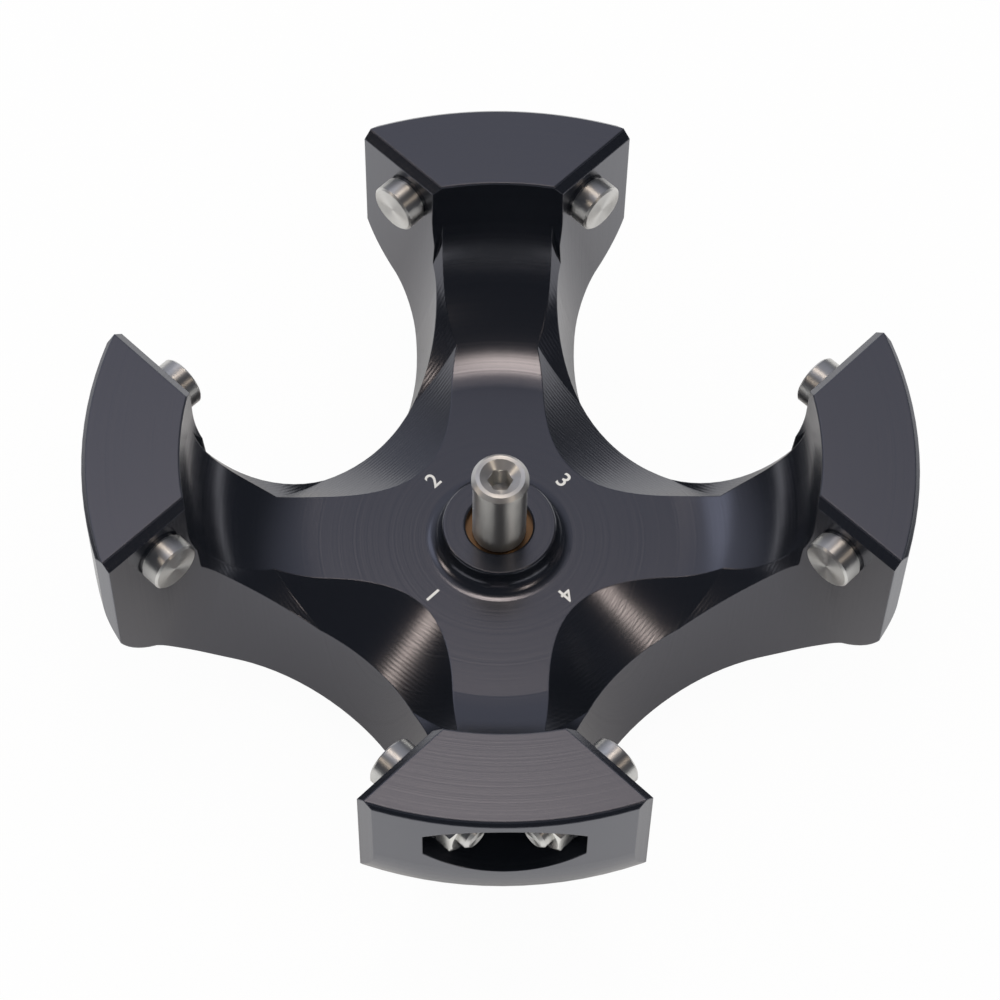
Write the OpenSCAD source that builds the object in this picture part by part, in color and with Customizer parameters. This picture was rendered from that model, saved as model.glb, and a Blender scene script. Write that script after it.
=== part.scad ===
// Swing-out rotor with four arms for hinged buckets. Millimetres.
// Z is the spin axis and z = 0 is the hub's lower face. The arms lie along X and Y,
// and the four bucket gaps lie on the diagonals between them.

/* [Rotor] */
// radius of the outer wall
rotor_radius = 90.6; // [80:0.1:110]
// height of the heads above the hub's lower face
head_top = 78; // [70:0.5:90]
// height of the flat web
web_top = 38.4; // [34:0.1:44]
// radius of the heads' inner wall
dish_radius = 69.4; // [66:0.1:74]
// fillet from the web up to the heads
dish_fillet = 29; // [20:0.5:34]
// chamfer round the outer wall's top edge
rim_chamfer = 1; // [0.3:0.1:2]
// height where the upright outer wall ends
side_z = 56; // [50:0.5:64]
// radius of the curve below it
side_r = 34.5; // [15:0.5:50]
// turn of that curve, in degrees
side_turn = 23.5; // [15:0.5:60]
// distance from the spin axis of the heel, where the outer wall meets the underside
heel_x = 72.2; // [68:0.1:84]
// height of the heel
heel_z = 19.6; // [14:0.1:30]
// radius that rounds the heel
heel_r = 33; // [2:0.5:40]

/* [Boss and hub] */
// radius of the raised ring
boss_radius = 12.9; // [11:0.1:16]
// height of the raised ring's top face
boss_top = 44.1; // [42:0.1:48]
// concave fillet at its foot
boss_fillet = 3.8; // [1:0.1:6]
// radius of the hub's lower face
hub_radius = 26; // [20:0.5:34]
// bore for the drive shaft
shaft_bore_d = 16; // [12:0.5:22]
// depth of that bore
shaft_bore_depth = 12; // [8:0.5:16]
// chamber above it, for the shaft's threaded nose
chamber_d = 13.6; // [11:0.1:15]
// height of the chamber's top
chamber_top = 27.7; // [22:0.1:29]
// width of the slot for the drive pin
drive_slot_w = 5; // [3:0.1:8]
// depth of that slot
drive_slot_depth = 6; // [3:0.5:10]

/* [Bucket gaps] */
// distance between the two flats of a gap
gap_width = 75; // [60:0.5:90]
// chamfer along the flats' top edges
flat_chamfer = 2; // [0.5:0.1:4]
// lean of the scalloped wall from upright, in degrees
scallop_lean = 14.3; // [0:0.1:25]
// distance of the scallop from the spin axis, at scallop_z
scallop_d = 39.9; // [36:0.1:50]
// height that scallop_d is given at
scallop_z = 29.2; // [20:0.1:40]
// radius of the scallop's middle arc
scallop_r = 41; // [40:0.5:60]
// radius of its two corner arcs
scallop_corner_r = 21.6; // [15:0.1:30]
// radius of the swing clearance about the swung-out bucket's axis
swing_r = 39.3; // [36:0.1:44]
// distance from the spin axis where the clearance starts to narrow
swing_d = 42.25; // [38:0.05:48]
// rise of the clearance's cone for each millimetre inward
swing_taper = 0.6; // [0.3:0.01:1]
// distance from the spin axis where the swing clearance stops
swing_end = 57; // [50:0.5:60]
// distance from the spin axis of the small facet at each tip
tip_facet_d = 80.4; // [78:0.1:84]

/* [Trunnion pins] */
// distance of the pin axis from the spin axis, along the diagonal
pin_d = 66.5; // [60:0.1:74]
// depth of the pin axis below the heads' top
pin_drop = 10.95; // [8:0.05:16]
// diameter of the pin head
pin_head_d = 11.6; // [8:0.1:14]
// how far the head stands out of the flat
pin_head_l = 5.05; // [3:0.05:8]
// diameter of the fitted shank
pin_shank_d = 8; // [6:0.5:10]
// thread diameter
pin_thread_d = 6; // [5:1:8]
// distance of the thread's end from the gap's middle plane
pin_end = 58.3; // [54:0.1:60]
// distance of the spot face from the gap's middle plane
spot_face = 47.7; // [45:0.1:50]

/* [Head windows] */
// half width of the window
window_half_w = 17; // [12:0.5:22]
// radius of its upper and lower arcs
window_r = 29; // [20:0.5:40]
// depth of its highest point below the heads' top
window_top = 2.9; // [2:0.1:6]
// depth of its lowest point below the heads' top
window_bottom = 22; // [16:0.1:28]
// radius where the hollow behind it ends
pocket_back = 76; // [73:0.5:82]

/* [Tie-down screw] */
// height of the screw's top
screw_top = 64.8; // [55:0.1:75]
// diameter of its upper shaft
screw_d = 12.1; // [8:0.1:14]
// diameter of its collar
screw_collar_d = 12.8; // [10:0.1:15]
// diameter of its stem and thread
screw_stem_d = 8; // [6:0.5:10]
// hex socket, across flats
socket_af = 5; // [4:0.5:8]
// depth of the hex socket
socket_depth = 7; // [4:0.5:12]
// how far the loosened screw can lift
screw_lift = 4; // [2:0.5:6]
// height of the bronze bush's top face
bush_top = 41.7; // [38:0.1:43]
// length of the bronze bush
bush_l = 10; // [6:0.5:12]
// diameter of the bore that the bush is pressed into
bush_d = 15.3; // [13:0.1:17]

/* [Hidden] */
$fn = 96;
eps = 0.01;
pin_z = head_top - pin_drop;
dish_z = web_top + dish_fillet;
dish_r0 = dish_radius - dish_fillet;
swing_d0 = 14;
corner_y = gap_width / 2 - scallop_corner_r;
corner_back = sqrt(pow(scallop_r - scallop_corner_r, 2) - pow(corner_y, 2));
corner_x = scallop_r - corner_back;
meet_x = corner_x - corner_back * scallop_corner_r / (scallop_r - scallop_corner_r);
meet_y = corner_y * scallop_r / (scallop_r - scallop_corner_r);
// the outer wall's corners, to a hundredth of a millimetre
function tidy(p) = [round(p.x * 100) / 100, round(p.y * 100) / 100];
side_c = [rotor_radius - side_r, side_z];
side_end = tidy(side_c + side_r * [cos(side_turn), -sin(side_turn)]);
heel = [heel_x, heel_z];
to_side = (side_end - heel) / norm(side_end - heel);
to_hub = ([hub_radius, 0] - heel) / norm([hub_radius, 0] - heel);
heel_bend = acos(to_side * to_hub) / 2;
heel_in = (to_side + to_hub) / norm(to_side + to_hub);
heel_a = tidy(heel + to_side * heel_r / tan(heel_bend));
heel_b = tidy(heel + to_hub * heel_r / tan(heel_bend));
heel_c = tidy(heel + heel_in * heel_r / sin(heel_bend));
stem_hole_d = 9;
bush_bottom = bush_top - bush_l;
washer_d = 13;
washer_t = 1.0;
clip_d = 11;
clip_t = 1.0;
clip_gap = 0.05;
washer_z = chamber_top - screw_lift - washer_t;
clip_z = washer_z - clip_gap - clip_t;
groove_d = screw_stem_d - 0.4;
thread_z0 = 13.5;
M6_washer_d = 12;
M6_washer_t = 1.6;
M6_nut_af = 10;
M6_nut_t = 5;
spring_washer_d = 11.8;
nut_start = spot_face + 2 * M6_washer_t;
spot_r = 6.7;

// ---- places ----

// x runs out along the diagonal of gap i, y across it
module gap(i) rotate([0, 0, 45 + 90 * i]) children();

// z runs along a pin, out of the middle of gap i and into the head on side k
module pin_place(i, k) gap(i) translate([pin_d, 0, pin_z]) rotate([-90 * k, 0, 0]) children();

// both pins of the arm at 90 * a degrees
module arm_pins(a) {
    pin_place(a, -1) children();
    pin_place(a + 3, 1) children();
}

// ---- the turned blank ----

module blank_profile() {
    intersection() {
        union() {
            polygon([[0, 0], [hub_radius - 0.8, 0], [hub_radius, 0.8], heel_b, heel_a, side_end,
                [rotor_radius, side_z], [rotor_radius, head_top - rim_chamfer],
                [rotor_radius - rim_chamfer, head_top], [0, head_top]]);
            translate(side_c) circle(side_r);
            translate(heel_c) circle(heel_r);
        }
        polygon([[0, 0], [rotor_radius, 0], [rotor_radius, head_top - rim_chamfer],
            [rotor_radius - rim_chamfer, head_top], [0, head_top]]);
    }
}

module dish_profile() {
    translate([-1, web_top]) square([dish_r0 + 1, 60]);
    translate([-1, dish_z]) square([dish_radius + 1, 60]);
    translate([dish_r0, dish_z]) circle(dish_fillet);
    polygon([[dish_radius - 1, head_top - 1.3], [dish_radius, head_top - 0.3],
        [dish_radius + 1, head_top + 0.7], [dish_radius - 1, head_top + 0.7]]);
}

module boss_profile() {
    polygon([[0, web_top - 1], [boss_radius, web_top - 1], [boss_radius, boss_top - 0.4],
        [boss_radius - 0.4, boss_top], [0, boss_top]]);
    difference() {
        translate([boss_radius - 1, web_top - 1]) square([boss_fillet + 1, boss_fillet + 1]);
        translate([boss_radius + boss_fillet, web_top + boss_fillet]) circle(boss_fillet);
    }
}

module blank() rotate_extrude() {
    difference() {
        blank_profile();
        dish_profile();
    }
    boss_profile();
}

// ---- cuts ----

// outline of a bucket gap: two flats joined by an oval end of three arcs
module slot_profile() {
    polygon([[meet_x, -meet_y], [meet_x, meet_y], [corner_x, gap_width / 2],
        [90, gap_width / 2], [90, -gap_width / 2], [corner_x, -gap_width / 2]]);
    intersection() {
        translate([scallop_r, 0]) circle(scallop_r);
        translate([-1, -meet_y]) square([meet_x + 4, 2 * meet_y]);
    }
    for (k = [-1, 1]) translate([corner_x, k * corner_y]) circle(scallop_corner_r);
}

// the gap leans back by scallop_lean, and its flats stay upright
module slot_cut() {
    translate([scallop_d, 0, scallop_z]) rotate([0, -scallop_lean, 0]) translate([0, 0, -70])
        linear_extrude(160) slot_profile();
    translate([48, 0, 0]) rotate([90, 0, 90]) linear_extrude(60)
        polygon([[-gap_width / 2, head_top - flat_chamfer], [gap_width / 2, head_top - flat_chamfer],
            [gap_width / 2 + flat_chamfer + 1, head_top + 1],
            [-gap_width / 2 - flat_chamfer - 1, head_top + 1]]);
    translate([tip_facet_d, -42, -10]) cube([20, 84, head_top + 20]);
}

// what the swung-out bucket needs: a bore and cone about the bucket's axis
module swing_cut() translate([0, 0, pin_z]) rotate([0, 90, 0]) rotate_extrude()
    polygon([[0, swing_d0], [swing_r - swing_taper * (swing_d - swing_d0), swing_d0],
        [swing_r, swing_d], [swing_r, swing_end], [0, swing_end]]);

// lens-shaped window and the hollow behind it, for the arm along x
module window_cut() {
    intersection() {
        translate([pocket_back, 0, 0]) rotate([90, 0, 90]) intersection() {
            translate([0, head_top - window_bottom + window_r]) cylinder(r = window_r, h = 20);
            translate([0, head_top - window_top - window_r]) cylinder(r = window_r, h = 20);
            translate([-window_half_w, 40, 0]) cube([2 * window_half_w, 60, 20]);
        }
        linear_extrude(200) polygon([[spot_face * sqrt(2), 0],
            [spot_face * sqrt(2) + 30, 30], [spot_face * sqrt(2) + 30, -30]]);
    }
}

module pin_bores() {
    translate([0, 0, gap_width / 2 - 1]) cylinder(d = pin_shank_d + 0.04, h = 9.2 - eps);
    translate([0, 0, gap_width / 2]) cylinder(d = pin_thread_d + 0.4, h = 20);
    translate([0, 0, spot_face]) cylinder(r = spot_r, h = 16);
}

module hub_bores() {
    translate([0, 0, bush_bottom]) cylinder(d = bush_d, h = 30);
    translate([0, 0, boss_top - 0.4]) cylinder(d1 = bush_d, d2 = bush_d + 1.6, h = 0.8);
    cylinder(d = stem_hole_d, h = 50);
    cylinder(d = chamber_d, h = chamber_top);
    translate([0, 0, -1]) cylinder(d = shaft_bore_d, h = shaft_bore_depth + 1);
    translate([0, 0, -0.5]) cylinder(d1 = shaft_bore_d + 3, d2 = shaft_bore_d, h = 1.5);
    translate([-hub_radius - 2, -drive_slot_w / 2, -1])
        cube([2 * hub_radius + 4, drive_slot_w, drive_slot_depth + 1]);
}

// ---- rotor ----

module rotor_body() color("#33353a") difference() {
    blank();
    for (i = [0:3]) gap(i) {
        slot_cut();
        swing_cut();
    }
    for (i = [0:3]) {
        rotate([0, 0, 90 * i]) window_cut();
        arm_pins(i) pin_bores();
    }
    hub_bores();
}

module guide_bush() color("#a9774a") difference() {
    translate([0, 0, bush_bottom]) cylinder(d = bush_d, h = bush_l);
    translate([0, 0, bush_bottom - 1]) cylinder(d = screw_stem_d + 0.12, h = bush_l + 2);
    translate([0, 0, bush_top - 0.5]) cylinder(d1 = screw_stem_d, d2 = screw_stem_d + 1.4, h = 0.7);
}

module tie_down_screw() color("#b9bab8") difference() {
    rotate_extrude() polygon([[0, thread_z0], [screw_stem_d / 2 - 0.8, thread_z0],
        [screw_stem_d / 2, thread_z0 + 0.8], [screw_stem_d / 2, clip_z - clip_gap],
        [groove_d / 2, clip_z - clip_gap], [groove_d / 2, clip_z + clip_t + clip_gap],
        [screw_stem_d / 2, clip_z + clip_t + clip_gap], [screw_stem_d / 2, bush_top],
        [screw_d / 2 - 0.3, bush_top], [screw_d / 2, bush_top + 0.3],
        [screw_d / 2, screw_top - 2.4], [screw_collar_d / 2, screw_top - 2],
        [screw_collar_d / 2, screw_top - 0.9], [screw_collar_d / 2 - 0.9, screw_top],
        [0, screw_top]]);
    translate([0, 0, screw_top - socket_depth])
        cylinder(d = socket_af / cos(30), h = socket_depth + 1, $fn = 6);
    translate([0, 0, screw_top - socket_depth - 1.2])
        cylinder(d1 = 0.6, d2 = 4.6, h = 1.2 + eps);
    translate([0, 0, screw_top - 1.5]) cylinder(d1 = 5.2, d2 = 9.4, h = 1.6);
}

module thrust_washer() color("#9fa0a0") translate([0, 0, washer_z]) difference() {
    cylinder(d = washer_d, h = washer_t);
    translate([0, 0, -1]) cylinder(d = screw_stem_d + 0.12, h = washer_t + 2);
}

module retaining_ring() color("#4a4a4c") translate([0, 0, clip_z]) difference() {
    union() {
        cylinder(d = clip_d, h = clip_t);
        for (k = [-1, 1]) rotate([0, 0, 18 * k]) translate([5.2, 0, 0]) cylinder(r = 1.1, h = clip_t);
    }
    translate([0, 0, -1]) cylinder(d = groove_d + 0.1, h = clip_t + 2);
    translate([0, -1, -1]) cube([10, 2, clip_t + 2]);
    for (k = [-1, 1]) rotate([0, 0, 18 * k]) translate([5.3, 0, -1]) cylinder(r = 0.4, h = 3);
}

// ---- trunnion pins and what holds them ----

module trunnion_pin() rotate_extrude() {
    s0 = gap_width / 2 - pin_head_l;
    s1 = gap_width / 2;
    polygon([[0, s0], [pin_head_d / 2 - 0.45, s0], [pin_head_d / 2, s0 + 0.45],
        [pin_head_d / 2, s1 - 0.7], [pin_head_d / 2 - 0.6, s1 - 0.7], [pin_head_d / 2 - 0.6, s1],
        [pin_shank_d / 2, s1], [pin_shank_d / 2, s1 + 7.4], [pin_shank_d / 2 - 0.5, s1 + 7.9],
        [pin_thread_d / 2, s1 + 7.9], [pin_thread_d / 2, pin_end - 0.7],
        [pin_thread_d / 2 - 0.7, pin_end], [0, pin_end]]);
}

module flat_washer() translate([0, 0, spot_face]) difference() {
    cylinder(d = M6_washer_d, h = M6_washer_t);
    translate([0, 0, -1]) cylinder(d = pin_thread_d + 0.4, h = 5);
}

module spring_washer() translate([0, 0, spot_face + M6_washer_t]) difference() {
    cylinder(d = spring_washer_d, h = M6_washer_t);
    translate([0, 0, -1]) cylinder(d = pin_thread_d + 0.2, h = 5);
    rotate([0, 0, 25]) translate([0, -0.6, -1]) rotate([0, 0, 12]) cube([9, 1.2, 5]);
}

module nut() translate([0, 0, nut_start]) difference() {
    intersection() {
        rotate([0, 0, 30]) cylinder(d = M6_nut_af / cos(30), h = M6_nut_t, $fn = 6);
        union() {
            cylinder(d1 = M6_nut_af - 0.4, d2 = M6_nut_af - 0.4 + 5.6, h = 1.62);
            translate([0, 0, 0.9]) cylinder(d = 13, h = M6_nut_t - 1.8);
            translate([0, 0, M6_nut_t - 1.62])
                cylinder(d1 = M6_nut_af - 0.4 + 5.6, d2 = M6_nut_af - 0.4, h = 1.62);
        }
    }
    translate([0, 0, -1]) cylinder(d = pin_thread_d + 0.04, h = 8);
    translate([0, 0, M6_nut_t - 0.4]) cylinder(d1 = pin_thread_d, d2 = pin_thread_d + 1, h = 0.5);
}

module pin_north_east_a() color("#b4b4b2") pin_place(0, 1) trunnion_pin();
module pin_north_east_b() color("#b4b4b2") pin_place(0, -1) trunnion_pin();
module pin_north_west_a() color("#b4b4b2") pin_place(1, 1) trunnion_pin();
module pin_north_west_b() color("#b4b4b2") pin_place(1, -1) trunnion_pin();
module pin_south_west_a() color("#b4b4b2") pin_place(2, 1) trunnion_pin();
module pin_south_west_b() color("#b4b4b2") pin_place(2, -1) trunnion_pin();
module pin_south_east_a() color("#b4b4b2") pin_place(3, 1) trunnion_pin();
module pin_south_east_b() color("#b4b4b2") pin_place(3, -1) trunnion_pin();

module flat_washers_east() color("#a8a8a6") arm_pins(0) flat_washer();
module flat_washers_north() color("#a8a8a6") arm_pins(1) flat_washer();
module flat_washers_west() color("#a8a8a6") arm_pins(2) flat_washer();
module flat_washers_south() color("#a8a8a6") arm_pins(3) flat_washer();

module spring_washers_east() color("#8f8f8e") arm_pins(0) spring_washer();
module spring_washers_north() color("#8f8f8e") arm_pins(1) spring_washer();
module spring_washers_west() color("#8f8f8e") arm_pins(2) spring_washer();
module spring_washers_south() color("#8f8f8e") arm_pins(3) spring_washer();

module nuts_east() color("#bdbdb8") arm_pins(0) nut();
module nuts_north() color("#bdbdb8") arm_pins(1) nut();
module nuts_west() color("#bdbdb8") arm_pins(2) nut();
module nuts_south() color("#bdbdb8") arm_pins(3) nut();

rotor_body();
guide_bush();
tie_down_screw();
thrust_washer();
retaining_ring();
pin_north_east_a();
pin_north_east_b();
pin_north_west_a();
pin_north_west_b();
pin_south_west_a();
pin_south_west_b();
pin_south_east_a();
pin_south_east_b();
flat_washers_east();
flat_washers_north();
flat_washers_west();
flat_washers_south();
spring_washers_east();
spring_washers_north();
spring_washers_west();
spring_washers_south();
nuts_east();
nuts_north();
nuts_west();
nuts_south();
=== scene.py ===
# %% [markdown]
# # A swing-out rotor, finished in Blender
# The rotor is one block of black anodised aluminium with four arms. A bucket hangs between the
# trunnion pins of each gap and swings out as the rotor spins. Its shapes come from a packed
# model, already in place and at their real size, so this lesson is about finishes and light.
# Finishes could be pictures wrapped round the solids. Here they are worked out from the place on
# the rotor, so that they stay sharp from any distance and need no unwrapping. The only thing
# added to the solids is the four position numbers.

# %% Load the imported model
import math

import bpy
from mathutils import Matrix, Vector


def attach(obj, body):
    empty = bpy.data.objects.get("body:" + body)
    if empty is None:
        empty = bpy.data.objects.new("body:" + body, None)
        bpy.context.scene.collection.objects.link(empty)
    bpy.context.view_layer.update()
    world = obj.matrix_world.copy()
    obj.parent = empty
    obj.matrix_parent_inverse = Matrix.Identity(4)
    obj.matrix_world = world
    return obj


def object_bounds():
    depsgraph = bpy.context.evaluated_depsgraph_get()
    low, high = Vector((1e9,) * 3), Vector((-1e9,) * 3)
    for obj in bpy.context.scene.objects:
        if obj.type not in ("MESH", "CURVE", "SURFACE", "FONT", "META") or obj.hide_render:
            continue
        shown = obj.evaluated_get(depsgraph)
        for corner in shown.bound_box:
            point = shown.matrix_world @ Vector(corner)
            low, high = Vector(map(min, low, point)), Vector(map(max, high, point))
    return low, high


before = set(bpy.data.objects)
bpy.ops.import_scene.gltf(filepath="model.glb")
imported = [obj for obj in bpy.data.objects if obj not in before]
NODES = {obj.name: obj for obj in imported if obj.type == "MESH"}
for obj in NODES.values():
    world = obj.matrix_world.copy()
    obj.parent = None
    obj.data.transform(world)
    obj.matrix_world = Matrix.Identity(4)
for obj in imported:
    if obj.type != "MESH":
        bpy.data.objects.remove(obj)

MM = 0.001
CAD_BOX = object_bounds()
print("frame:", len(NODES), "nodes, box", [round(side / MM, 1) for side in CAD_BOX[1] - CAD_BOX[0]])

# %% [markdown]
# ## Sizes
# The camera and the finishes have to know how high the rotor is. That could be typed in, but the
# solids' box gives it exactly, so it is read from there. Sizes that a box can't show are typed
# in where they are first needed. The spin axis is Z, north is +Y and east is +X.

# %% Sizes
ROTOR_R = CAD_BOX[1].x
HEAD_TOP = CAD_BOX[1].z
print("rotor radius", round(ROTOR_R / MM, 2), "mm, heads", round(HEAD_TOP / MM, 2), "mm high")

# %% [markdown]
# ## Camera
# The camera looks down on the rotor from above the front, through a long lens that keeps the
# four heads nearly the same size. It could be moved by hand, or told to track the rotor. Here it
# is given by angles and a distance, because each of those can be changed alone: the azimuth from
# the south, the elevation, the roll about the line of sight, and the distance to the target.

# %% Place the camera
CAMERA_AZIMUTH = math.radians(-1.729)
CAMERA_ELEVATION = math.radians(59.443)
CAMERA_ROLL = math.radians(1.333)
CAMERA_DISTANCE = 747.74 * MM
CAMERA_TARGET = Vector((-0.377 * MM, -13.695 * MM, HEAD_TOP))
FOCAL_LENGTH = 125.72
SENSOR_WIDTH = 36
NEAR_CLIP = 50 * MM

back = Vector((math.sin(CAMERA_AZIMUTH) * math.cos(CAMERA_ELEVATION),
               -math.cos(CAMERA_AZIMUTH) * math.cos(CAMERA_ELEVATION),
               math.sin(CAMERA_ELEVATION)))
level = Vector((math.cos(CAMERA_AZIMUTH), math.sin(CAMERA_AZIMUTH), 0))
upright = back.cross(level)
right = math.cos(CAMERA_ROLL) * level + math.sin(CAMERA_ROLL) * upright
up = math.cos(CAMERA_ROLL) * upright - math.sin(CAMERA_ROLL) * level

camera_data = bpy.data.cameras.new("camera")
camera_data.sensor_width = SENSOR_WIDTH
camera_data.lens = FOCAL_LENGTH
camera_data.clip_start = NEAR_CLIP
camera = bpy.data.objects.new("camera", camera_data)
bpy.context.scene.collection.objects.link(camera)
camera.matrix_world = Matrix((right, up, back)).transposed().to_4x4()
camera.location = CAMERA_TARGET + back * CAMERA_DISTANCE
bpy.context.scene.camera = camera
bpy.context.scene.view_settings.view_transform = "Standard"
print("camera at", [round(c / MM, 1) for c in camera.location])

# %% [markdown]
# ## Helpers for materials
# A material is a tree of shader nodes. It could be joined up by hand in the shader editor, but a
# script builds it the same way every time. One function turns the hex values of a colour chart
# into the linear numbers that the renderer works with, one adds a node, sets it and links it,
# and one starts an empty material. So each finish below reads as a list of what it is made of.

# %% Colours and nodes
def linear(hex_colour):
    """The linear colour, with alpha, of an sRGB hex value."""
    channels = [int(hex_colour[i:i + 2], 16) / 255 for i in (1, 3, 5)]
    return [c / 12.92 if c <= 0.04045 else ((c + 0.055) / 1.055) ** 2.4 for c in channels] + [1]


def add(tree, kind, settings=None, inputs=None):
    """Adds a node of one kind, and gives each input a value or a link."""
    node = tree.nodes.new("ShaderNode" + kind)
    for name, value in (settings or {}).items():
        setattr(node, name, value)
    for name, value in (inputs or {}).items():
        if isinstance(value, bpy.types.NodeSocket):
            tree.links.new(value, node.inputs[name])
        else:
            node.inputs[name].default_value = value
    return node


def new_material(name):
    """An empty material: the material, its node tree and its output node."""
    material = bpy.data.materials.new(name)
    material.use_nodes = True
    material.node_tree.nodes.clear()
    return material, material.node_tree, add(material.node_tree, "OutputMaterial")


print("three helpers")

# %% [markdown]
# ## Floor
# The rotor stands on a pale floor. A studio would curve it up behind as a sweep, but this camera
# looks down and never meets a horizon, so a flat plane does. Paint alone would look grey at this
# level of light, so the floor also glows to the camera, which sees it almost white with a faint
# shadow. Black anodising shows what it reflects, so the floor matters there too. To reflections
# the floor glows nearly white in the open, and the glow fades out towards the rotor. That fade is
# painted shade, for the floor's shadow under and around the rotor. There reflections find the
# shaded paint, which keeps the upright walls from turning pale.

# %% Floor
FLOOR_WIDTH = 6
FLOOR_GAP = 0.1 * MM  # under the hub, so that the two faces never share a plane
WHITE_TO_CAMERA = 0.96
WHITE_TO_GLOSS = 0.9
SHADE_R = 75 * MM
OPEN_R = 125 * MM


def pale_floor():
    """Paint that glows to the camera, and to reflections with painted shade near the rotor."""
    material, tree, output = new_material("pale_studio_floor")
    path = add(tree, "LightPath")
    shown = add(tree, "Math", {"operation": "MULTIPLY"},
                {0: path.outputs["Is Camera Ray"], 1: WHITE_TO_CAMERA})
    flat_place = add(tree, "VectorMath", {"operation": "MULTIPLY"},
                     {0: add(tree, "TexCoord").outputs["Object"], 1: (1, 1, 0)})
    radius = add(tree, "VectorMath", {"operation": "LENGTH"}, {0: flat_place.outputs[0]})
    # Painted shade: to reflections the glow fades out towards the rotor, for the floor's shadow
    # there.
    gloss_glow_past_painted_shade = add(tree, "MapRange", {"interpolation_type": "SMOOTHSTEP"},
                      {"Value": radius.outputs["Value"], "From Min": SHADE_R, "From Max": OPEN_R,
                       "To Min": 0.0, "To Max": WHITE_TO_GLOSS})
    mirrored = add(tree, "Math", {"operation": "MULTIPLY"},
                   {0: path.outputs["Is Glossy Ray"], 1: gloss_glow_past_painted_shade.outputs[0]})
    seen = add(tree, "Math", {"operation": "ADD"}, {0: shown.outputs[0], 1: mirrored.outputs[0]})
    paint = add(tree, "BsdfDiffuse", None, {"Color": linear("#e4e4e4")})
    glow = add(tree, "Emission", None, {"Color": linear("#ffffff"), "Strength": 1.0})
    mix = add(tree, "MixShader", None,
              {"Fac": seen.outputs[0], 1: paint.outputs[0], 2: glow.outputs[0]})
    tree.links.new(mix.outputs[0], output.inputs["Surface"])
    return material


bpy.ops.mesh.primitive_plane_add(size=FLOOR_WIDTH)
floor = bpy.context.object
floor.name = "floor"
floor.location.z = -FLOOR_GAP
floor.data.materials.append(pale_floor())
print("floor", FLOOR_WIDTH, "m wide")

# %% [markdown]
# ## Surroundings
# Walls and a ceiling could be built as planes. But the rotor only meets them as light and as
# reflections, so a world that changes with direction does the same with less. Plain light finds
# it pale, so that shaded places stay readable. Reflections find a dark ceiling, which keeps the
# web black, and one dim wall high behind the rotor, a little to the left.

# %% Surroundings
TOWARDS_WALL = Vector((-0.20, 0.76, 0.62)).normalized()
WALL_EDGE = 0.5  # the cosine of the angle from the wall's middle at which it has faded out


def surroundings():
    """A world that is pale for plain light, and dark with one wall for reflections."""
    world = bpy.data.worlds.new("studio")
    world.use_nodes = True
    tree = world.node_tree
    tree.nodes.clear()
    path = add(tree, "LightPath")
    direction = add(tree, "TexCoord").outputs["Generated"]
    wall_side = add(tree, "VectorMath", {"operation": "DOT_PRODUCT"},
                    {0: direction, 1: TOWARDS_WALL})
    wall = add(tree, "MapRange", {"interpolation_type": "SMOOTHSTEP"},
               {"Value": wall_side.outputs["Value"], "From Min": WALL_EDGE, "From Max": 1.0,
                "To Min": 0.0, "To Max": 1.0})
    mirrored = add(tree, "Mix", {"data_type": "RGBA"},
                   {"Factor": wall.outputs[0], "A": linear("#3c3f47"), "B": linear("#b2b5c2")})
    around = add(tree, "Mix", {"data_type": "RGBA"},
                 {"Factor": path.outputs["Is Glossy Ray"], "A": linear("#f0f0f0"),
                  "B": mirrored.outputs["Result"]})
    sky = add(tree, "Background", None, {"Color": around.outputs["Result"], "Strength": 1.0})
    tree.links.new(sky.outputs[0], add(tree, "OutputWorld").inputs["Surface"])
    return world


bpy.context.scene.world = surroundings()
print("pale air, a dark ceiling and one wall")

# %% [markdown]
# ## Soft boxes
# The highlights along the concave turned surfaces are reflections of soft boxes. Glowing planes
# would show there too, but the renderer finds area lamps with less noise. A box stands overhead,
# and two smaller ones at the front right and the left, all of them warm. A wide, dim and cool
# panel stands at the back left. Each points at a place just above the web.

# %% Soft boxes
LAMP_DISTANCE = 1.5
LAMP_AIM = Vector((0, 0, 50 * MM))


def soft_box(name, azimuth, elevation, width, depth, brightness, colour):
    """A lamp whose face is as bright as given; azimuth 0 stands at +Y, 90 at +X."""
    lamp = bpy.data.lights.new(name, "AREA")
    lamp.shape = "RECTANGLE"
    lamp.size, lamp.size_y = width, depth
    lamp.energy = brightness * math.pi * width * depth
    lamp.color = linear(colour)[:3]
    a, e = math.radians(azimuth), math.radians(elevation)
    towards = Vector((math.sin(a) * math.cos(e), math.cos(a) * math.cos(e), math.sin(e)))
    holder = bpy.data.objects.new(name, lamp)
    bpy.context.scene.collection.objects.link(holder)
    holder.location = LAMP_AIM + towards * LAMP_DISTANCE
    holder.rotation_euler = towards.to_track_quat("Z", "Y").to_euler()


soft_box("overhead_box", -5, 78, 0.32, 0.46, 6.5, "#ffeedd")
soft_box("left_panel", -50, 50, 0.6, 0.45, 0.9, "#e6ecff")
soft_box("right_front_box", 135, 47, 0.26, 0.26, 6.5, "#ffecd8")
soft_box("left_box", -91, 39, 0.30, 0.30, 6.5, "#ffecd8")
print("four soft boxes")

# %% [markdown]
# ## Rows from the milling cutter
# The swing clearances make room for the buckets as they swing out. Each is a round bore about a
# level line, which runs from the spin axis out between its gap's pins, and a cone narrows it
# inward. The cutter leaves fine rows round it. They could be cut into the mesh, but they are
# only microns deep, so they are a height for the shading to use. The four gaps are alike, so the
# place is folded onto the north-east one by taking its absolute value. Then it is measured along
# that gap's line and off it.

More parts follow.
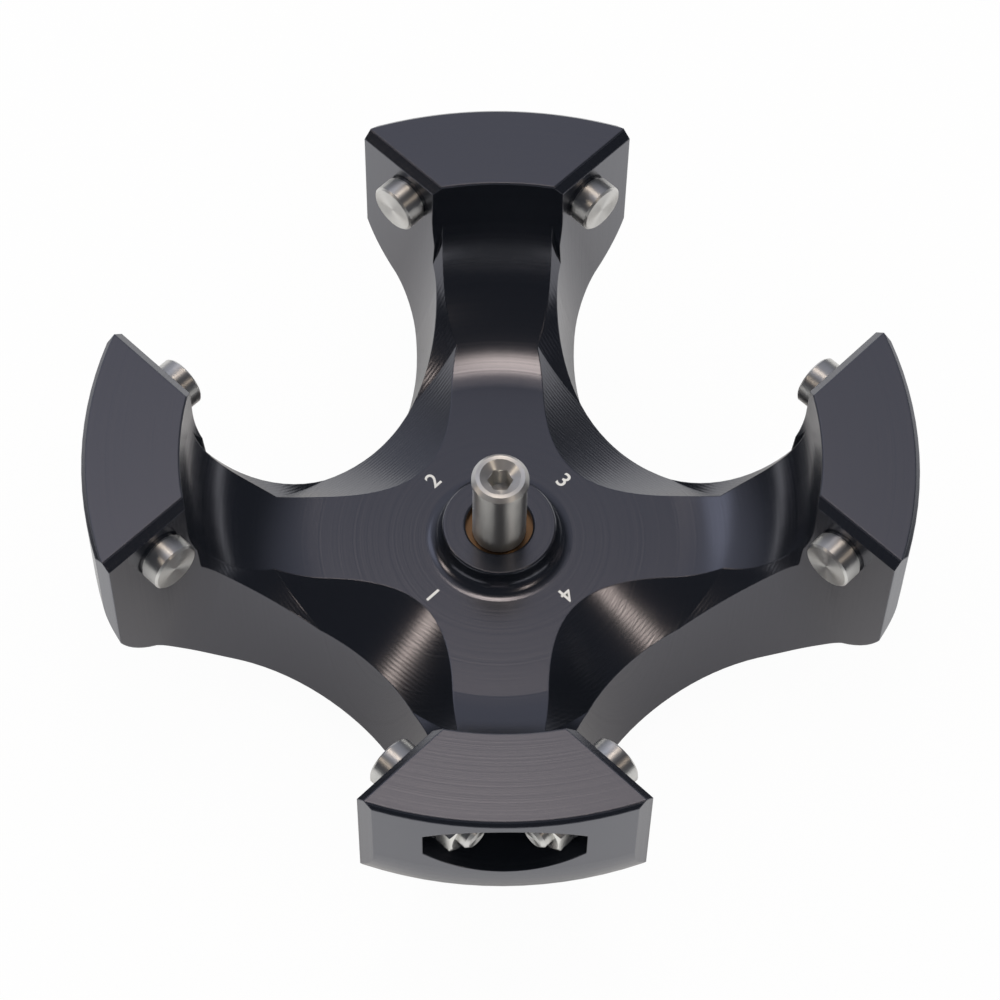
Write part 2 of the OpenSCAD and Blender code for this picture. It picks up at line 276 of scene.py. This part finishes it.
# %% Rows from the milling cutter
DIAGONAL = math.sqrt(0.5)
PIN_Z = HEAD_TOP - 10.95 * MM  # the height of the pins' axes, and of the level lines
SWING_R = 39.3 * MM
CONE_START = 14 * MM
CONE_END = 42.25 * MM
CONE_SMALL_R = SWING_R - 0.6 * (CONE_END - CONE_START)
WALL_SLACK = 0.12 * MM  # how far off a clearance's wall still counts as on it
LEVEL = 0.995  # how upright a normal has to be for its face to count as level
ROW_PITCH = 0.85 * MM


def cutter_rows(tree, flat_place, z):
    """The height of the rows, which is nought away from the clearances' walls."""
    folded = add(tree, "VectorMath", {"operation": "ABSOLUTE"}, {0: flat_place})
    along = add(tree, "VectorMath", {"operation": "DOT_PRODUCT"},
                {0: folded.outputs[0], 1: (DIAGONAL, DIAGONAL, 0)})
    across = add(tree, "VectorMath", {"operation": "DOT_PRODUCT"},
                 {0: folded.outputs[0], 1: (DIAGONAL, -DIAGONAL, 0)})
    rise = add(tree, "Math", {"operation": "SUBTRACT"}, {0: z, 1: PIN_Z})
    off_line = add(tree, "CombineXYZ", None, {"X": across.outputs["Value"], "Y": rise.outputs[0]})
    off_line = add(tree, "VectorMath", {"operation": "LENGTH"}, {0: off_line.outputs[0]})
    wall = add(tree, "MapRange", None,
               {"Value": along.outputs["Value"], "From Min": CONE_START, "From Max": CONE_END,
                "To Min": CONE_SMALL_R, "To Max": SWING_R})
    off_wall = add(tree, "Math", {"operation": "SUBTRACT"},
                   {0: off_line.outputs["Value"], 1: wall.outputs[0]})
    off_wall = add(tree, "Math", {"operation": "ABSOLUTE"}, {0: off_wall.outputs[0]})
    on_wall = add(tree, "Math", {"operation": "LESS_THAN"}, {0: off_wall.outputs[0], 1: WALL_SLACK})
    facing = add(tree, "SeparateXYZ", None, {0: add(tree, "NewGeometry").outputs["Normal"]})
    not_level = add(tree, "Math", {"operation": "LESS_THAN"}, {0: facing.outputs["Z"], 1: LEVEL})
    milled = add(tree, "Math", {"operation": "MULTIPLY"},
                 {0: on_wall.outputs[0], 1: not_level.outputs[0]})
    rows = add(tree, "Math", {"operation": "MULTIPLY"},
               {0: along.outputs["Value"], 1: 2 * math.pi / ROW_PITCH})
    rows = add(tree, "Math", {"operation": "SINE"}, {0: rows.outputs[0]})
    return add(tree, "Math", {"operation": "MULTIPLY"},
               {0: rows.outputs[0], 1: milled.outputs[0]}).outputs[0]


print("clearances of", SWING_R / MM, "mm radius, narrowed to", round(CONE_SMALL_R / MM, 2), "mm")

# %% [markdown]
# ## Black anodised aluminium
# The block is turned and milled, then anodised and dyed black. The oxide is clear and hard, with
# the dye in its pores. It could be made as a black metal, but a metal colours what it mirrors,
# so its highlights would be black too. Instead it is a nearly black non-metal with a high index
# of refraction, which mirrors the studio almost without tinting it. Lathe rings run round the
# spin axis, strongest on the heads' tops, which are also a little rougher. The tops are painted a
# little less black as well. That is painted sheen, for the light their rougher finish scatters. A
# small bevel, which only the shading shows, breaks the sharp edges.

# %% Anodised finish
TOP_SLACK = 0.3 * MM  # how far below the full height still counts as a head's top
RING_WIDTH = 0.45 * MM  # the coarsest of the lathe's marks
EDGE_RADIUS = 0.4 * MM
RELIEF_DEPTH = 0.008 * MM


def anodised_aluminium():
    """The dyed finish: lathe rings, cutter rows, broken edges, painted sheen on the tops."""
    material, tree, output = new_material("black_anodised_aluminium")
    place = add(tree, "TexCoord").outputs["Object"]
    z = add(tree, "SeparateXYZ", None, {0: place}).outputs["Z"]
    is_top = add(tree, "Math", {"operation": "GREATER_THAN"}, {0: z, 1: HEAD_TOP - TOP_SLACK})
    flat_place = add(tree, "VectorMath", {"operation": "MULTIPLY"}, {0: place, 1: (1, 1, 0)})
    radius = add(tree, "VectorMath", {"operation": "LENGTH"}, {0: flat_place.outputs[0]})
    rings = add(tree, "TexNoise", {"noise_dimensions": "1D"},
                {"W": radius.outputs["Value"], "Scale": 1 / RING_WIDTH, "Detail": 3,
                 "Roughness": 0.7})

    ring_share = add(tree, "MapRange", None,
                     {"Value": is_top.outputs[0], "To Min": 0.35, "To Max": 1.6})
    ring_height = add(tree, "Math", {"operation": "MULTIPLY"},
                      {0: rings.outputs[0], 1: ring_share.outputs[0]})
    relief = add(tree, "Math", {"operation": "ADD"},
                 {0: ring_height.outputs[0], 1: cutter_rows(tree, flat_place.outputs[0], z)})
    edges = add(tree, "Bevel", {"samples": 6}, {"Radius": EDGE_RADIUS})
    bump = add(tree, "Bump", None,
               {"Strength": 0.5, "Distance": RELIEF_DEPTH, "Height": relief.outputs[0],
                "Normal": edges.outputs[0]})

    rough = add(tree, "MapRange", None,
                {"Value": is_top.outputs[0], "To Min": 0.22, "To Max": 0.33})
    grain = add(tree, "MapRange", None,
                {"Value": rings.outputs[0], "From Min": 0.3, "From Max": 0.7,
                 "To Min": -0.05, "To Max": 0.05})
    rough = add(tree, "Math", {"operation": "ADD"}, {0: rough.outputs[0], 1: grain.outputs[0]})
    # Painted sheen: the heads' tops are less black, for the light their rougher turned finish
    # scatters.
    colour = add(tree, "Mix", {"data_type": "RGBA"},
                 {"Factor": is_top.outputs[0], "A": linear("#0f1217"), "B": linear("#1a1e26")})
    shader = add(tree, "BsdfPrincipled", None,
                 {"Base Color": colour.outputs["Result"], "Metallic": 0.0, "IOR": 2.0,
                  "Specular Tint": linear("#eeeffd"), "Roughness": rough.outputs[0],
                  "Normal": bump.outputs[0]})
    tree.links.new(shader.outputs[0], output.inputs["Surface"])
    return material


ANODISED = anodised_aluminium()
print("material", ANODISED.name)

# %% [markdown]
# ## Marks round an axis
# A turned piece carries fine marks round its own axis, and they draw its highlights out across
# themselves. A picture of brushed metal could be wrapped round each piece. Here both the marks
# and the direction they run in are worked out from where a place lies from the axis, so the same
# two helpers serve every piece, and the marks meet without a seam.

# %% Marks round an axis
def off_axis(tree, place, first, second, distance, height):
    """How far a place lies from an axis, along first and along second.

    The axis passes where the place along first is the distance, on either side of the middle,
    and the place along second is the height.
    """
    sideways = add(tree, "VectorMath", {"operation": "DOT_PRODUCT"}, {0: place, 1: first})
    upwards = add(tree, "VectorMath", {"operation": "DOT_PRODUCT"}, {0: place, 1: second})
    side = add(tree, "Math", {"operation": "SIGN"}, {0: sideways.outputs["Value"]})
    centre = add(tree, "Math", {"operation": "MULTIPLY"}, {0: side.outputs[0], 1: distance})
    off_side = add(tree, "Math", {"operation": "SUBTRACT"},
                   {0: sideways.outputs["Value"], 1: centre.outputs[0]})
    off_up = add(tree, "Math", {"operation": "SUBTRACT"}, {0: upwards.outputs["Value"], 1: height})
    return off_side.outputs[0], off_up.outputs[0]


def round_axis(tree, first, second, off_side, off_up):
    """The direction that marks run in, round the axis."""
    turn_a = add(tree, "VectorMath", {"operation": "SCALE"}, {0: second, "Scale": off_side})
    turn_b = add(tree, "VectorMath", {"operation": "SCALE"}, {0: first, "Scale": off_up})
    turn = add(tree, "VectorMath", {"operation": "SUBTRACT"},
               {0: turn_a.outputs[0], 1: turn_b.outputs[0]})
    turn = add(tree, "VectorTransform", {"convert_from": "OBJECT", "convert_to": "WORLD"},
               {"Vector": turn.outputs[0]})
    return add(tree, "VectorMath", {"operation": "NORMALIZE"}, {0: turn.outputs[0]}).outputs[0]


print("two helpers for turned marks")

# %% [markdown]
# ## Bare metal
# Steel and bronze are true metals, so their colour is in their reflection and none is under it.
# A single roughness would look like plastic foil. So the marks vary it a little, and so does a
# soft cloud, as handling does. On end faces the marks follow the radius, and on the sides they
# follow the length.

# %% Bare metal
MARK_WIDTH = 0.3 * MM  # the coarsest of the turning marks
CLOUD_WIDTH = 3 * MM


def bare_metal(name, colour, roughness, depth, brushed, axis, first, second,
               distance=0.0, height=0.0):
    """A metal with marks round an axis; brushed is how far they draw out the highlights."""
    material, tree, output = new_material(name)
    place = add(tree, "TexCoord").outputs["Object"]
    off_side, off_up = off_axis(tree, place, first, second, distance, height)
    offset = add(tree, "CombineXYZ", None, {"X": off_side, "Y": off_up})
    radius = add(tree, "VectorMath", {"operation": "LENGTH"}, {0: offset.outputs[0]})
    along = add(tree, "VectorMath", {"operation": "DOT_PRODUCT"}, {0: place, 1: axis})
    mark_place = add(tree, "Math", {"operation": "ADD"},
                     {0: radius.outputs["Value"], 1: along.outputs["Value"]})
    marks = add(tree, "TexNoise", {"noise_dimensions": "1D"},
                {"W": mark_place.outputs[0], "Scale": 1 / MARK_WIDTH, "Detail": 3,
                 "Roughness": 0.6})
    cloud = add(tree, "TexNoise", None, {"Vector": place, "Scale": 1 / CLOUD_WIDTH, "Detail": 2})

    rough = add(tree, "MapRange", None,
                {"Value": marks.outputs[0], "From Min": 0.25, "From Max": 0.75,
                 "To Min": roughness * 0.85, "To Max": roughness * 1.15})
    smear = add(tree, "MapRange", None,
                {"Value": cloud.outputs[0], "From Min": 0.3, "From Max": 0.7,
                 "To Min": -0.03, "To Max": 0.03})
    rough = add(tree, "Math", {"operation": "ADD"}, {0: rough.outputs[0], 1: smear.outputs[0]})
    bump = add(tree, "Bump", None, {"Strength": 0.5, "Distance": depth, "Height": marks.outputs[0]})
    shader = add(tree, "BsdfPrincipled", None,
                 {"Base Color": linear(colour), "Metallic": 1.0, "Roughness": rough.outputs[0],
                  "Anisotropic": brushed, "Anisotropic Rotation": 0.25,
                  "Tangent": round_axis(tree, first, second, off_side, off_up),
                  "Normal": bump.outputs[0]})
    tree.links.new(shader.outputs[0], output.inputs["Surface"])
    return material


print("one recipe for the metals")

# %% [markdown]
# ## A metal for each kind of piece
# The screw and the bush share the rotor's upright axis. A pin's axis is level. It runs across
# the north-east diagonal in the north-east and south-west gaps, and along it in the other two.
# So the pins have two finishes, which differ only in that. The nuts and washers are cold formed
# or stamped, so their faint marks don't draw the highlights out. Each nut could have an axis of
# its own, but its marks are too faint to tell.

# %% The metals
PIN_D = 66.5 * MM  # from the spin axis, out along the gap, to the pins' axis
X, Y, Z = Vector((1, 0, 0)), Vector((0, 1, 0)), Vector((0, 0, 1))
NORTH_EAST = Vector((DIAGONAL, DIAGONAL, 0))
NORTH_WEST = Vector((-DIAGONAL, DIAGONAL, 0))
UPRIGHT = (Z, X, Y)
ACROSS = (NORTH_WEST, NORTH_EAST, Z, PIN_D, PIN_Z)
ALONG = (NORTH_EAST, NORTH_WEST, Z, PIN_D, PIN_Z)
SCREW_STEEL = bare_metal("turned_stainless_screw", "#dddcd8", 0.40, 0.001 * MM, 0.8, *UPRIGHT)
PIN_STEEL_A = bare_metal("turned_stainless_pin_a", "#d6d5d2", 0.44, 0.002 * MM, 0.85, *ACROSS)
PIN_STEEL_B = bare_metal("turned_stainless_pin_b", "#d6d5d2", 0.44, 0.002 * MM, 0.85, *ALONG)
NUT_STEEL = bare_metal("cold_formed_stainless_nut", "#dcdbd6", 0.22, 0.0004 * MM, 0.0, *UPRIGHT)
WASHER_STEEL = bare_metal("stamped_steel_washer", "#c6c5c1", 0.30, 0.0006 * MM, 0.0, *UPRIGHT)
SPRING_STEEL = bare_metal("blackened_spring_steel", "#77787c", 0.35, 0.0006 * MM, 0.0, *UPRIGHT)
# Painted shade: the bronze is darker than bare bronze, for the shade it sits in down its bore under
# the screw.
BRONZE_WITH_PAINTED_SHADE = bare_metal("turned_bronze", "#7a5f45", 0.34, 0.001 * MM, 0.4, *UPRIGHT)
print("seven bare metals")

# %% [markdown]
# ## Finishes on the solids
# Each solid could be given its finish by hand. Its node's name already says what it is, so one
# function reads that, and a model that is packed again keeps its finishes. The solids' shapes
# and places are left as they come.

# %% Give the solids their finishes
def finish_for(node):
    """The material of a node, by what the piece is."""
    if node == "rotor_body":
        return ANODISED
    if node == "guide_bush":
        return BRONZE_WITH_PAINTED_SHADE
    if node == "tie_down_screw":
        return SCREW_STEEL
    if node.startswith("pin_"):
        return PIN_STEEL_A if "north_east" in node or "south_west" in node else PIN_STEEL_B
    if node.startswith("nuts"):
        return NUT_STEEL
    if node.startswith("spring") or node == "retaining_ring":
        return SPRING_STEEL
    return WASHER_STEEL


for name, solid in NODES.items():
    solid.data.materials.clear()
    solid.data.materials.append(finish_for(name))
print("finishes on", len(NODES), "nodes")

# %% [markdown]
# ## Marking ink
# The position numbers are white ink. Plain white would look cut out of paper, so a fine speckle
# between two near whites takes the flatness away.

# %% Marking ink
SPECKLE = 0.12 * MM


def marking_white():
    """White ink with a faint speckle."""
    material, tree, output = new_material("white_marking_ink")
    place = add(tree, "TexCoord").outputs["Object"]
    speckle = add(tree, "TexNoise", None, {"Vector": place, "Scale": 1 / SPECKLE})
    tone = add(tree, "Mix", {"data_type": "RGBA"},
               {"Factor": speckle.outputs[0], "A": linear("#d5d5d2"), "B": linear("#ececea")})
    shader = add(tree, "BsdfPrincipled", None,
                 {"Base Color": tone.outputs["Result"], "Roughness": 0.5})
    tree.links.new(shader.outputs[0], output.inputs["Surface"])
    return material


INK = marking_white()
print("material", INK.name)

# %% [markdown]
# ## Position numbers
# Each gap carries a small white number, so that a bucket always hangs in the same place. The
# numbers are printed on the web with their tops outward. They could be painted into the body's
# finish, but text made into a mesh stays crisp from any distance. It lies on the web and rides
# with the rotor.

# %% Numbers
WEB_TOP = 38.4 * MM
NUMBER_D = 20.9 * MM
NUMBER_HEIGHT = 3.7 * MM
HEIGHT_SHARE = 0.7  # a figure's height as a share of the font's size, or a little less
INK_HALF = 0.01 * MM  # half the ink's thickness
INK_SPREAD = 0.05 * MM
GAPS = (("north_east", "3", 45), ("north_west", "2", 135),
        ("south_west", "1", 225), ("south_east", "4", 315))


def number_mesh(number, angle):
    """The mesh of one number, lying on the web at an angle from east, top outward."""
    text = bpy.data.curves.new("number_" + number, "FONT")
    text.body = number
    text.size = NUMBER_HEIGHT / HEIGHT_SHARE
    text.align_x = "CENTER"
    text.align_y = "CENTER"
    text.extrude = INK_HALF
    text.offset = INK_SPREAD
    holder = bpy.data.objects.new("number_curve", text)
    bpy.context.scene.collection.objects.link(holder)
    bpy.context.view_layer.update()
    mesh = bpy.data.meshes.new_from_object(holder)
    bpy.data.objects.remove(holder)
    mesh.transform(Matrix.Rotation(math.radians(angle), 4, "Z")
                   @ Matrix.Translation((NUMBER_D, 0, WEB_TOP + INK_HALF))
                   @ Matrix.Rotation(math.radians(-90), 4, "Z"))
    return mesh


for name, number, angle in GAPS:
    mesh = number_mesh(number, angle)
    mesh.materials.append(INK)
    piece = bpy.data.objects.new("position_number_" + name, mesh)
    bpy.context.scene.collection.objects.link(piece)
    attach(piece, "rotor")
print(len(GAPS), "position numbers")

# %% [markdown]
# ## End
# The scene is finished here.

# %% Finish
print("scene finished")
